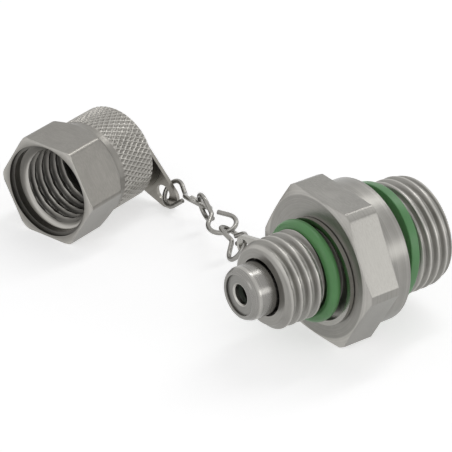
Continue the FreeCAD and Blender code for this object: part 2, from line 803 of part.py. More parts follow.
def eye_path(centre, radius, waist, cut_end, inward, side):
    """Edges of one eye, from the wire's cut end round to the waist."""
    leaving = tangent_spot(centre, radius, cut_end, -side)
    arriving = tangent_spot(centre, radius, waist, side)
    far = centre - inward * radius
    return [(cut_end, leaving), (leaving, far, arriving)], arriving


def make_link_shape():
    """One twisted link: two eyes a quarter turn apart and the bend between them."""
    first, second = link_eyes()
    waist = X_AXIS * size("link_waist").value
    gap = size("wire_end_gap").value
    back = size("wire_end_back").value
    head, first_touch = eye_path(
        first.centre, first.radius, waist, waist - X_AXIS * back - Y_AXIS * gap, X_AXIS, Y_AXIS)
    tail, second_touch = eye_path(
        second.centre, second.radius, waist, waist + X_AXIS * back - Z_AXIS * gap, -X_AXIS, Z_AXIS)
    into = (waist - first_touch).normalize()
    out_of = (second_touch - waist).normalize()
    bend = size("waist_bend").value
    turn = into.getAngle(out_of)
    trim = bend * math.tan(turn / 2)
    inside = (out_of - into).normalize()
    middle = waist + inside * (bend / math.cos(turn / 2) - bend)
    start, finish = waist - into * trim, waist + out_of * trim
    spots = head + [(first_touch, start), (start, middle, finish), (finish, second_touch)]
    spots += [tuple(reversed(piece)) for piece in reversed(tail)]
    edges = []
    for piece in spots:
        curve = Part.LineSegment(*piece) if len(piece) == 2 else Part.Arc(*piece)
        edges.append(curve.toShape())
    path = Part.Wire(edges)
    heading = (spots[0][1] - spots[0][0]).normalize()
    section = Part.Wire([Part.makeCircle(size("wire_radius").value, spots[0][0], heading)])
    return path, path.makePipeShell([section], True, True)


def basis(first, second):
    """The matrix whose columns are two directions at right angles and their cross product."""
    third = first.cross(second)
    return FreeCAD.Matrix(
        first.x, second.x, third.x, 0,
        first.y, second.y, third.y, 0,
        first.z, second.z, third.z, 0,
        0, 0, 0, 1)


def seen(placement, spot, outward, tangent, flank):
    """An eye's place and directions in the part's frame."""
    turn = placement.Rotation
    directions = [turn.multVec(direction) for direction in (outward, tangent, flank)]
    return [placement.multVec(spot)] + directions


def hang(placement, held_at, eye, degrees, turn):
    """Place a link so that its eye hooks through the link before, at a place on each wire."""
    spot, outward, tangent, flank = seen(placement, *held_at)
    inside = -outward
    angle = math.radians(turn)
    along = flank * math.cos(angle) + tangent * math.sin(angle)
    wire = spot + inside * size("wire_contact").value
    own_spot, own_outward, own_tangent, own_flank = eye.place(degrees)
    rotation = FreeCAD.Rotation(basis(inside, along) * basis(own_outward, own_tangent).inverse())
    return FreeCAD.Placement(wire - rotation.multVec(own_spot), rotation), (spot, tangent)


def hang_chain():
    """Placements of the three links, hinge places and the wire's place in the lug."""
    first, second = link_eyes()
    angle = math.radians(size("ear_angle").value)
    outward = Y_AXIS * math.cos(angle) + Z_AXIS * math.sin(angle)
    ring_middle = hex_front.value - size("chain_ring_gap").value - size("plate_thickness").value / 2
    ring_spot = FreeCAD.Vector(ring_middle, -size("chain_ring_aside").value, -size("chain_ring_drop").value)
    ear = ring_spot + outward * size("ear_reach").value
    turn = FreeCAD.Rotation(*[size(f"ring_link_{way}_angle").value for way in ("yaw", "pitch", "roll")])
    spot, _, tangent, _ = second.place(size("ring_link_in_ear_angle").value)
    wire = ear + outward * size("hole_contact").value
    ring_link = FreeCAD.Placement(wire - turn.multVec(spot), turn)
    hinges = {"ear": (wire, outward.cross(X_AXIS))}
    held_at = first.place(size("ring_link_on_middle_angle").value)
    middle_link, hinges["middle"] = hang(
        ring_link, held_at, second, size("middle_link_on_ring_angle").value, size("middle_link_turn_angle").value)
    held_at = first.place(size("middle_link_on_cap_angle").value)
    cap_link, hinges["cap"] = hang(
        middle_link, held_at, second, size("cap_link_on_middle_angle").value, size("cap_link_turn_angle").value)
    lug_spot, _, lug_tangent, _ = seen(cap_link, *first.place(size("cap_link_in_lug_angle").value))
    hinges["lug"] = (lug_spot, lug_tangent)
    links = {"ring_end": ring_link, "middle": middle_link, "cap_end": cap_link}
    return links, hinges, lug_spot


def lay_cap(wire):
    """Placement of the cap on the table and the lug's direction, from the wire in its hole."""
    reach = size("lug_hole_reach").value + size("lug_contact").value
    lug_middle = size("cap_length") + size("cap_boss_length") + size("lug_gap") + size("plate_thickness") / 2
    table = -size("hex_across_flats").value / 2
    height = table + size("cap_across_flats").value / 2
    lug_angle = -180 + math.degrees(math.asin((height - wire.z) / reach))
    turn = FreeCAD.Rotation(Z_AXIS, size("cap_turn_angle").value)
    angle = math.radians(lug_angle)
    arm = X_AXIS * lug_middle.value + Y_AXIS * (reach * math.cos(angle)) + Z_AXIS * (reach * math.sin(angle))
    mouth = wire - turn.multVec(arm)
    return FreeCAD.Placement(mouth, turn), lug_angle


def main():
    """Build every sub-part, check it and write its file."""
    parts = [make_coupling_body(), make_valve_insert(), make_nose_disc()]
    seal_middle_radius = size("seal_pocket_radius") - size("probe_seal_section") - size("seal_play")
    parts.append(o_ring("probe_seal", probe_seal_middle, seal_middle_radius, size("probe_seal_section")))
    parts.append(make_valve_pin())
    pin_seal_radius = size("guide_radius") + size("pin_seal_section")
    parts.append(o_ring("pin_seal", pin_seal_middle, pin_seal_radius, size("pin_seal_section")))
    parts += [make_valve_spring(), make_spring_seat(), make_retaining_ring()]
    insert_seal_radius = size("insert_bore_radius") - size("insert_seal_section") - size("seal_play")
    insert_seal_middle = (insert_end + insert_bore_end) / 2
    parts.append(o_ring("insert_seal", insert_seal_middle, insert_seal_radius, size("insert_seal_section")))
    parts.append(make_port_seal())
    dust_ring_radius = size("dust_groove_radius") + size("dust_ring_section")
    dust_ring_middle = (thread_back + collar_front) / 2
    parts.append(o_ring("dust_ring", dust_ring_middle, dust_ring_radius, size("dust_ring_section")))
    parts.append(make_chain_ring())
    links, hinges, lug_spot = hang_chain()
    path, link_shape = make_link_shape()
    for name, placement in links.items():
        link = doc.addObject("Part::Feature", f"chain_link_{name}")
        link.Label = f"chain_link_{name}"
        link.Shape = link_shape
        link.Placement = placement
        parts.append(link)
    cap_placement, lug_angle = lay_cap(lug_spot)
    for make in (make_cap_body, make_cap_seal, make_cap_lug, make_cap_rivet):
        piece = make()
        piece.Placement = cap_placement
        if make is make_cap_lug:
            piece.Placement = cap_placement * FreeCAD.Placement(
                FreeCAD.Vector(), FreeCAD.Rotation(X_AXIS, lug_angle))
        parts.append(piece)
    doc.recompute()
    for item in doc.Objects:
        if "Invalid" in item.State or "Error" in item.State:
            raise RuntimeError(f"{item.Label}: {item.State}")
    wire_volume = path.Length * math.pi * size("wire_radius").value ** 2
    print("link volume against wire length", round(link_shape.Volume / wire_volume, 4))
    os.makedirs("parts", exist_ok=True)
    for item in parts:
        shape = item.Shape
        if shape.isNull() or not shape.isValid() or not shape.Solids:
            raise RuntimeError(f"{item.Label}: no valid solid")
        shape.exportStep(os.path.join("parts", f"{item.Label}.step"))
    for name, (spot, axis) in hinges.items():
        print("hinge", name, [round(v, 5) for v in spot], [round(v, 5) for v in axis])
    print("cap mouth", [round(v, 5) for v in cap_placement.Base], "lug angle", round(lug_angle, 4))


main()
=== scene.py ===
"""Test point coupling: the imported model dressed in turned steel, wire and green rubber.

Lengths are in millimetres until a mesh is made, and metres in the scene.
"""
from __future__ import annotations

import json
import logging
import math
from dataclasses import dataclass
from enum import Enum
from typing import Callable, Sequence

import bpy
import numpy as np
from mathutils import Matrix, Vector

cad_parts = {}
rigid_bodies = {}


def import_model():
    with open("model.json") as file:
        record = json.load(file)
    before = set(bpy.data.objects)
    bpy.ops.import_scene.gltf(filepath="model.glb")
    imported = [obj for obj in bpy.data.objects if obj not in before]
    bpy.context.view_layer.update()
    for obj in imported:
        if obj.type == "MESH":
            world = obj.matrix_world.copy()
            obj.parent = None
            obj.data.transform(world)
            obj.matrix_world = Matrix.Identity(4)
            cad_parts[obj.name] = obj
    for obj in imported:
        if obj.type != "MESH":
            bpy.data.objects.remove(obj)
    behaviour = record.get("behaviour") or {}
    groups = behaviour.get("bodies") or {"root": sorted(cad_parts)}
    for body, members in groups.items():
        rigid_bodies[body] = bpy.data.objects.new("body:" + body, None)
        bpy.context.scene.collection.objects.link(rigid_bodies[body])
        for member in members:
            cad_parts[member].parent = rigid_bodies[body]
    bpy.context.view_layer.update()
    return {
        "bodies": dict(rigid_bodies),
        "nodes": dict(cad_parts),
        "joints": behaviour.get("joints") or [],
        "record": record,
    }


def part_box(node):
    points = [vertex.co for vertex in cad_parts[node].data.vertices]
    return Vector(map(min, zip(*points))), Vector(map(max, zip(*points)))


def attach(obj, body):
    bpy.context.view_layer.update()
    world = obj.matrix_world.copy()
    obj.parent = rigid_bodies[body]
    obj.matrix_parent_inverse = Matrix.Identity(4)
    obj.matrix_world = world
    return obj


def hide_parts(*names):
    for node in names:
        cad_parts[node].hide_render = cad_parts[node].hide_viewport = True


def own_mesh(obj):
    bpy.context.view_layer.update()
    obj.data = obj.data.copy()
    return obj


LOG = logging.getLogger("test_point_coupling")
MM = 0.001
FULL_TURN = 2 * math.pi
# Point attribute of painted light, from -1 for painted shade to 1 for a painted highlight
PAINTED_LIGHT = "painted_light"
# Sockets of a colour Mix node, whose names every kind of data shares
MIX_INPUTS = (0, 6, 7)
MIX_RESULT = 2
BUMP_HEIGHT = 0.02 * MM
# Share of an outline's edge that one rounding may take up
ROUNDING_REACH = 0.45
# Radius that stays open round the axis where a solid piece ends
CENTRE = 0.02

# A corner of a turned outline: the place along the axis, the radius and the rounding
Corner = tuple[float, float, float]
Colour = tuple[float, float, float]
Spot = tuple[float, float, float]
# One value for all angles round an axis, or one for each
Values = float | np.ndarray
# A row of a skin: the place along the axis and the radius
Row = tuple[Values, Values]
Socket = bpy.types.NodeSocket
Piece = bpy.types.Object


class Finish(Enum):
    """The surfaces that the coupling shows."""

    BODY_STEEL = "stainless_satin"
    NOSE_STEEL = "stainless_polished"
    INNER_STEEL = "stainless_inner"
    CAP_STEEL = "cap_satin"
    PLATE_STEEL = "plate_steel"
    CHAIN_WIRE = "chain_wire"
    SPRING_WIRE = "spring_wire"
    GREEN_RUBBER = "seal_green"
    DARK_RUBBER = "seal_dark"


@dataclass(frozen=True)
class Placed:
    """A local frame whose +X is a piece's turning axis."""

    origin: Vector
    turn: float = 0.0
    tilt: float = 0.0
    tilt_line: float = 0.0

    def matrix(self) -> Matrix:
        """Matrix from the local frame to the part's frame, both in millimetres."""
        line = Vector((0, math.cos(self.tilt_line), math.sin(self.tilt_line)))
        turned = Matrix.Rotation(self.turn, 4, "Z") @ Matrix.Rotation(self.tilt, 4, line)
        return Matrix.Translation(self.origin) @ turned


class Nodes:
    """The node tree of a material or a world, with short calls for adding and linking nodes."""

    def __init__(self, owner: bpy.types.Material | bpy.types.World) -> None:
        """Empty the owner's node tree.

        Args:
            owner: The material or world.
        """
        owner.use_nodes = True
        self.owner = owner
        self.tree = owner.node_tree
        self.tree.nodes.clear()

    def add(
        self, kind: str, inputs: dict[str | int, object] | None = None, **settings: object
    ) -> bpy.types.Node:
        """Add a node.

        Args:
            kind: The node's type name.
            inputs: An output socket or a plain value for each input, by its name or number.
            **settings: Properties of the node.

        Returns:
            The new node.
        """
        node = self.tree.nodes.new(kind)
        for name, value in settings.items():
            setattr(node, name, value)
        for socket, value in (inputs or {}).items():
            if isinstance(value, Socket):
                self.tree.links.new(value, node.inputs[socket])
            else:
                node.inputs[socket].default_value = value
        return node

    def math(self, operation: str, *values: object) -> Socket:
        """Calculate with one or two values.

        Args:
            operation: The operation of a Math node.
            *values: Output sockets or numbers.

        Returns:
            The result's socket.
        """
        return self.add("ShaderNodeMath", dict(enumerate(values)), operation=operation).outputs[0]

    def noise(self, vector: object, scale: float, detail: float = 2.0) -> Socket:
        """Noise between 0 and 1 at a vector.

        Args:
            vector: The output socket that holds the place.
            scale: Noise cells per unit.
            detail: Octaves of the noise.

        Returns:
            The noise's socket.
        """
        node = self.add("ShaderNodeTexNoise", {"Vector": vector, "Scale": scale, "Detail": detail})
        return node.outputs["Fac"]

    def span(self, value: object, low: float, high: float) -> Socket:
        """Stretch a value between 0 and 1 to another range.

        Args:
            value: The output socket to stretch.
            low: Result at 0.
            high: Result at 1.

        Returns:
            The stretched value's socket.
        """
        node = self.add("ShaderNodeMapRange", {"Value": value, "To Min": low, "To Max": high})
        return node.outputs["Result"]

    def mix(self, share: object, first: object, second: object, blend: str = "MIX") -> Socket:
        """Mix two colours.

        Args:
            share: Share of the second colour.
            first: A colour with alpha, or an output socket.
            second: A colour with alpha, or an output socket.
            blend: How the second colour acts on the first.

        Returns:
            The mixed colour's socket.
        """
        inputs = dict(zip(MIX_INPUTS, (share, first, second)))
        return self.add("ShaderNodeMix", inputs, data_type="RGBA", blend_type=blend).outputs[MIX_RESULT]

    def bump(self, height: object, strength: float) -> Socket:
        """Turn a height into a fine relief of the surface.

        Args:
            height: The output socket that holds the height.
            strength: Strength of the relief, from 0 to 1.

        Returns:
            The normal's socket.
        """
        node = self.add("ShaderNodeBump", {"Strength": strength, "Distance": BUMP_HEIGHT, "Height": height})
        return node.outputs["Normal"]

    def background_rays(self) -> Socket:
        """Pick the rays that see the white background: straight, mirrored or through glass.

        Returns:
            A socket that is 1 for these rays and 0 for the light on the object.
        """
        path = self.add("ShaderNodeLightPath")
        seen = path.outputs["Is Camera Ray"]
        for kind in ("Is Glossy Ray", "Is Transmission Ray"):
            seen = self.math("MAXIMUM", seen, path.outputs[kind])
        return seen

    def finish(self, shader: Socket) -> bpy.types.Material | bpy.types.World:
        """Send a shader to the surface.

        Args:
            shader: The shader's output socket.

        Returns:
            The finished material or world.
        """
        kind = "World" if isinstance(self.owner, bpy.types.World) else "Material"
        self.add(f"ShaderNodeOutput{kind}", {"Surface": shader})
        return self.owner


@dataclass(frozen=True)
class TurnedSteel:
    """Stainless steel with fine tool marks round a turning axis."""

    slot: Finish
    colour: Colour
    roughness: float = 0.36
    mark_width: float = 0.05
    mark_depth: float = 0.30
    mottle: float = 0.10
    stretch: float = 0.45
    # Colour that a painted highlight mixes towards
    highlight_colour: Colour = (0.66, 0.64, 0.60)
    mark_shades: tuple[float, float] = (0.86, 1.12)
    coarse_shades: tuple[float, float] = (0.80, 1.20)
    grain_shades: tuple[float, float] = (0.93, 1.07)
    coarse_scale: float = 0.18
    grain_scale: float = 9.0
    cloud_scale: float = 0.45
    wander: float = 0.35
    wander_scale: float = 0.35
    mark_gloss: float = 0.06
    cloud_gloss: float = 0.05

    def places(self, nodes: Nodes, placed: Placed) -> tuple[Socket, Socket]:
        """Give the place in the turning frame, in millimetres, and the one that tool marks follow.

        Args:
            nodes: The material's nodes.
            placed: The frame of the piece's turning axis.

        Returns:
            The socket of the place, and that of the place along the axis with the distance from it.
        """
        inverse = placed.matrix().inverted()
        local = nodes.add("ShaderNodeMapping", {
            "Vector": nodes.add("ShaderNodeTexCoord").outputs["Object"],
            "Scale": (1 / MM, 1 / MM, 1 / MM),
            "Rotation": inverse.to_euler(),
            "Location": inverse.to_translation(),
        }).outputs["Vector"]
        across = nodes.add("ShaderNodeVectorMath", {0: local, 1: (0.0, 1.0, 1.0)}, operation="MULTIPLY")
        length = nodes.add("ShaderNodeVectorMath", {0: across.outputs["Vector"]}, operation="LENGTH")
        along = nodes.add("ShaderNodeSeparateXYZ", {0: local}).outputs["X"]
        drift = nodes.math("MULTIPLY", nodes.noise(local, self.wander_scale), self.wander)
        ring = {"X": nodes.math("ADD", along, drift), "Y": length.outputs["Value"]}
        return local, nodes.add("ShaderNodeCombineXYZ", ring).outputs[0]

    def material(self, placed: Placed) -> bpy.types.Material:
        """Make the material for a piece.

        Args:
            placed: The frame of the piece's turning axis.

        Returns:
            The material.
        """
        nodes = Nodes(bpy.data.materials.new(self.slot.value))
        local, ring = self.places(nodes, placed)
        marks = nodes.noise(ring, 1 / self.mark_width, 3.0)
        coarse = nodes.noise(ring, self.coarse_scale / self.mark_width, 2.0)
        cloud = nodes.noise(local, self.cloud_scale, 4.0)
        grain = nodes.noise(local, self.grain_scale, 3.0)
        shade = nodes.span(marks, *self.mark_shades)
        shade = nodes.math("MULTIPLY", shade, nodes.span(coarse, *self.coarse_shades))
        shade = nodes.math("MULTIPLY", shade, nodes.span(cloud, 1 - self.mottle, 1 + self.mottle))
        shade = nodes.math("MULTIPLY", shade, nodes.span(grain, *self.grain_shades))
        # Painted light from the point attribute: mixed towards the highlight colour where positive, painted
        # shade multiplied in where negative
        painted_light = nodes.add("ShaderNodeAttribute", attribute_name=PAINTED_LIGHT).outputs["Fac"]
        darkened = nodes.math("ADD", 1.0, nodes.math("MINIMUM", painted_light, 0.0))
        metal = nodes.mix(painted_light, (*self.colour, 1.0), (*self.highlight_colour, 1.0))
        tint = nodes.mix(1.0, metal, nodes.math("MULTIPLY", shade, darkened), "MULTIPLY")
        gloss = nodes.span(cloud, self.roughness - self.cloud_gloss, self.roughness + self.cloud_gloss)
        gloss = nodes.math("ADD", nodes.span(coarse, -self.mark_gloss, self.mark_gloss), gloss)
        shader = nodes.add("ShaderNodeBsdfPrincipled", {
            "Base Color": tint,
            "Metallic": 1.0,
            "Anisotropic": self.stretch,
            "Roughness": gloss,
            "Normal": nodes.bump(nodes.math("ADD", marks, coarse), self.mark_depth),
        })
        return nodes.finish(shader.outputs["BSDF"])


@dataclass(frozen=True)
class Rubber:
    """Moulded rubber with a soft gloss and a faint grain."""

    slot: Finish
    colour: Colour
    roughness: float = 0.36
    shades: tuple[float, float] = (0.85, 1.12)
    cloud_scale: float = 250.0
    grain_scale: float = 6000.0
    grain_depth: float = 0.12
    glossier: float = 0.06
    duller: float = 0.08

    def material(self, placed: Placed) -> bpy.types.Material:
        """Make the material for a piece.

        Args:
            placed: The frame of the piece's turning axis, which moulded rubber doesn't follow.

        Returns:
            The material.
        """
        nodes = Nodes(bpy.data.materials.new(self.slot.value))
        place = nodes.add("ShaderNodeTexCoord").outputs["Object"]
        cloud = nodes.noise(place, self.cloud_scale, 3.0)
        grain = nodes.noise(place, self.grain_scale, 2.0)
        tint = nodes.mix(1.0, (*self.colour, 1.0), nodes.span(cloud, *self.shades), "MULTIPLY")
        gloss = nodes.span(cloud, self.roughness - self.glossier, self.roughness + self.duller)
        inputs = {"Base Color": tint, "Roughness": gloss, "Normal": nodes.bump(grain, self.grain_depth)}
        return nodes.finish(nodes.add("ShaderNodeBsdfPrincipled", inputs).outputs["BSDF"])


# The finish of each slot; the steels' numbers are their roughness and their marks' width and depth
FINISHES = {finish.slot: finish for finish in (
    TurnedSteel(Finish.BODY_STEEL, (0.295, 0.287, 0.268)),
    TurnedSteel(Finish.NOSE_STEEL, (0.277, 0.270, 0.255), 0.26, 0.03, 0.15, mottle=0.06),
    TurnedSteel(Finish.INNER_STEEL, (0.255, 0.246, 0.233), 0.38),
    TurnedSteel(Finish.CAP_STEEL, (0.255, 0.245, 0.225), 0.34),
    TurnedSteel(Finish.PLATE_STEEL, (0.290, 0.277, 0.251), 0.30, 0.08, 0.15),
    TurnedSteel(Finish.CHAIN_WIRE, (0.290, 0.282, 0.264), 0.26, 0.2, 0.10),
    TurnedSteel(Finish.SPRING_WIRE, (0.246, 0.238, 0.224), 0.30, 0.2, 0.05),
    Rubber(Finish.GREEN_RUBBER, (0.085, 0.26, 0.085)),
    Rubber(Finish.DARK_RUBBER, (0.03, 0.03, 0.03)),
)}

# Nodes whose surface differs from the rest of their finish; the chain ring and the dust ring are lighter
# copies of theirs, painted light
OWN_FINISHES = {
    # Lighter, glossier copy of the plate steel: painted highlight on the rim and painted reflection on the
    # face
    "chain_ring": TurnedSteel(Finish.PLATE_STEEL, (0.387, 0.378, 0.352), 0.17, 0.08, 0.08),
    "nose_disc": TurnedSteel(Finish.INNER_STEEL, (0.250, 0.245, 0.230), 0.34),
    # Lighter copy of the green rubber: painted light
    "dust_ring": Rubber(Finish.GREEN_RUBBER, (0.105, 0.30, 0.10)),
    "probe_seal": Rubber(Finish.GREEN_RUBBER, (0.14, 0.17, 0.14)),
}


def new_object(name: str, data: bpy.types.ID) -> Piece:
    """Make an object and put it in the scene.

    Args:
        name: The object's name.
        data: Its mesh, lamp or camera.

    Returns:
        The object.
    """
    made = bpy.data.objects.new(name, data)
    bpy.context.scene.collection.objects.link(made)
    return made


def softened(corners: Sequence[Corner], steps: int) -> list[tuple[float, float]]:
    """Round the corners of an outline, apart from its two ends.

    Args:
        corners: The outline's corners.
        steps: Points in each rounded corner, less one.

    Returns:
        Points of the rounded outline as (x, radius).
    """
    path: list[tuple[float, float]] = []
    for index, (x, radius, rounding) in enumerate(corners):
        if rounding <= 0 or index in (0, len(corners) - 1):
            path.append((x, radius))
            continue
        here = np.array((x, radius))
        before = np.array(corners[index - 1][:2]) - here
        after = np.array(corners[index + 1][:2]) - here
        reach_before = min(rounding, np.linalg.norm(before) * ROUNDING_REACH)
        reach_after = min(rounding, np.linalg.norm(after) * ROUNDING_REACH)
        start = here + before / np.linalg.norm(before) * reach_before
        end = here + after / np.linalg.norm(after) * reach_after
        for step in range(steps + 1):
            share = step / steps
            spot = (1 - share) ** 2 * start + 2 * share * (1 - share) * here + share**2 * end
            path.append((float(spot[0]), float(spot[1])))
    return path


def ring_faces(rings: int, sides: int, joined: int) -> list[list[int]]:
    """List the faces between rings of points.

    Args:
        rings: Number of rings.
        sides: Points in each ring.
        joined: Number of rings that are joined to the next, or to the first after the last.

    Returns:
        The corner numbers of each face.
    """
    first = np.arange(joined)[:, None] * sides
    after = (first + sides) % (rings * sides)
    side = np.arange(sides)[None, :]
    beside = (side + 1) % sides
    faces = np.stack([first + side, after + side, after + beside, first + beside], axis=-1)
    return faces.reshape(-1, 4).tolist()


class Skin:
    """A closed skin of rows round an axis, each row a radius and place for every angle."""

    def __init__(self, columns: int, more: Sequence[float] = ()) -> None:
        """Start an empty skin.

        Args:
            columns: Number of even angles round the axis.
            more: Further angles that get a column of their own.
        """
        even = np.arange(columns) * (FULL_TURN / columns)
        self.angles = np.unique(np.concatenate([even, np.asarray(more) % FULL_TURN]))
        self.rows: list[Row] = []
        self.painted_light_rows: list[np.ndarray] = []

    def row(self, x: Values, radius: Values, painted_light: Values = 0.0) -> None:
        """Add one row.

        Args:
            x: Place along the axis.
            radius: Distance from the axis.
            painted_light: Painted light, from -1 for painted shade to 1 for a painted highlight.
        """
        shape = self.angles.shape
        self.rows.append((np.broadcast_to(x, shape), np.broadcast_to(radius, shape)))
        self.painted_light_rows.append(np.broadcast_to(painted_light, shape))

    def path(self, corners: Sequence[Corner], steps: int = 4, painted_light: float = 0.0) -> None:
        """Add the rows of a turned outline.

        Args:
            corners: The outline's corners.
            steps: Points in each rounded corner, less one.
            painted_light: Painted light of all these rows.
        """
        for x, radius in softened(corners, steps):
            self.row(x, radius, painted_light)

    def hang(
        self, start: Row, corner: Row, end: Row, steps: int = 3, painted_light: tuple[float, float] = (0.0, 0.0)
    ) -> None:
        """Add the rows of one rounded corner that differs from angle to angle.

        Args:
            start: Where the rounding starts.
            corner: The sharp corner.
            end: Where the rounding ends.
            steps: Points in the rounded corner, less one.
            painted_light: Painted light at the start and at the end.
        """
        for step in range(steps + 1):
            share = step / steps
            weights = ((1 - share) ** 2, 2 * share * (1 - share), share**2)
            x = sum(weight * spot[0] for weight, spot in zip(weights, (start, corner, end)))
            radius = sum(weight * spot[1] for weight, spot in zip(weights, (start, corner, end)))
            self.row(x, radius, painted_light[0] + (painted_light[1] - painted_light[0]) * share)

    def build(self, name: str, placed: Placed, crease: float = 28.0) -> Piece:
        """Make the mesh.

        Args:
            name: The object's name.
            placed: The frame of the turning axis.
            crease: Angle in degrees above which an edge stays sharp.

        Returns:
            The new object.
        """
        x = np.array([row[0] for row in self.rows])
        radius = np.array([row[1] for row in self.rows])
        rows, columns = x.shape
        spots = np.stack([x, radius * np.cos(self.angles), radius * np.sin(self.angles)], axis=-1)
        spots = spots.reshape(-1, 3)
        frame = np.array(placed.matrix())
        spots = (spots @ frame[:3, :3].T + frame[:3, 3]) * MM
        mesh = bpy.data.meshes.new(name)
        mesh.from_pydata(spots.tolist(), [], ring_faces(rows, columns, rows))
        mesh.shade_smooth()
        mesh.set_sharp_from_angle(angle=math.radians(crease))
        # The painted light goes into a point attribute that the materials read
        painted_light = mesh.attributes.new(PAINTED_LIGHT, "FLOAT", "POINT")
        painted_light.data.foreach_set("value", np.array(self.painted_light_rows, dtype=np.float32).ravel())
        mesh.update()
        return new_object(name, mesh)


def smallest(first: np.ndarray, second: np.ndarray | float, blend: float) -> np.ndarray:
    """The smaller of two values, with a rounded change from one to the other.

    Args:
        first: One value.
        second: The other value.
        blend: Width of the rounded change.

    Returns:
        The blended smaller value.
    """
    if blend <= 0:
        return np.minimum(first, second)
    share = np.clip(0.5 + 0.5 * (second - first) / blend, 0, 1)
    return second * (1 - share) + first * share - blend * share * (1 - share)


@dataclass(frozen=True)
class Hexagon:
    """A hexagon with a flat at the bottom and its corners turned to a radius."""

    flats: float
    corner: float
    blend: float
    near: float = 0.005

    def radius(self, angles: np.ndarray) -> np.ndarray:
        """Give the radius at angles from +Y towards +Z.

        Args:
            angles: The angles.

        Returns:
            The radius at each angle.
        """
        sixth = math.pi / 3
        from_flat = (angles - math.pi / 2 + sixth / 2) % sixth - sixth / 2
        return smallest(self.flats / 2 / np.cos(from_flat), self.corner, self.blend)

    def corner_angles(self) -> list[float]:
        """Give the angles of the columns that keep the corner lines crisp.

        Returns:
            The angles from +Y towards +Z.
        """
        half = math.acos(self.flats / 2 / self.corner)
        return [
            math.pi / 2 + side * math.pi / 3 + way * half + step * self.near
            for side in range(6) for way in (-1, 1) for step in (-1, 0, 1)
        ]


@dataclass(frozen=True)
class Thread:
    """A right-handed screw thread with rounded crests and roots."""

    crest: float
    depth: float
    pitch: float
    phase: float = 0.0
    inside: bool = False
    crest_share: float = 0.12
    root_share: float = 0.16
    roundness: float = 0.6
    run_out: float = 0.15
    # Painted highlight on the crests and how fast it fades below them, painted shade in the roots and how
    # far it reaches
    crest_highlight: float = 0.42
    crest_fall: float = 7.0
    root_shade: float = 0.0
    root_reach: float = 0.5

    def drop(self, x: float, angles: np.ndarray) -> np.ndarray:
        """How far the thread lies below its crest.

        Args:
            x: Place along the axis.
            angles: Angles round the axis.

        Returns:
            The share of the thread's depth at each angle, from 0 to 1.
        """
        turn = (x / self.pitch - angles / FULL_TURN + self.phase) % 1.0
        away = np.abs(turn - 0.5) * 2
        flank = np.clip((away - self.crest_share) / (1 - self.crest_share - self.root_share), 0, 1)
        rounded = 0.5 - 0.5 * np.cos(math.pi * flank)
        return self.roundness * rounded + (1 - self.roundness) * flank

    def rows(
        self, skin: Skin, start: float, end: float, step: float, limit: Callable[[float], float]
    ) -> None:
        """Add the thread's rows to a skin, with painted highlights on the crests and painted shade in the
        roots.

        Args:
            skin: The skin that gets the rows.
            start: First place along the axis.
            end: Last place along the axis.
            step: Distance between rows.
            limit: Largest radius outside, or smallest inside, at a place along the axis.
        """
        count = max(2, round(abs(end - start) / step))
        for index in range(count + 1):
            x = start + (end - start) * index / count
            drop = self.drop(x, skin.angles)
            bound = limit(x)
            if self.inside:
                radius = -smallest(-(self.crest + self.depth * drop), -bound, self.run_out)
            else:
                radius = smallest(self.crest - self.depth * drop, bound, self.run_out)
            # Painted highlight along the crests, less painted shade in the roots
            highlight = np.clip(1 - drop * self.crest_fall, 0, 1) * self.crest_highlight
            skin.row(x, radius, highlight - self.root_shade * np.clip(drop, 0, self.root_reach))


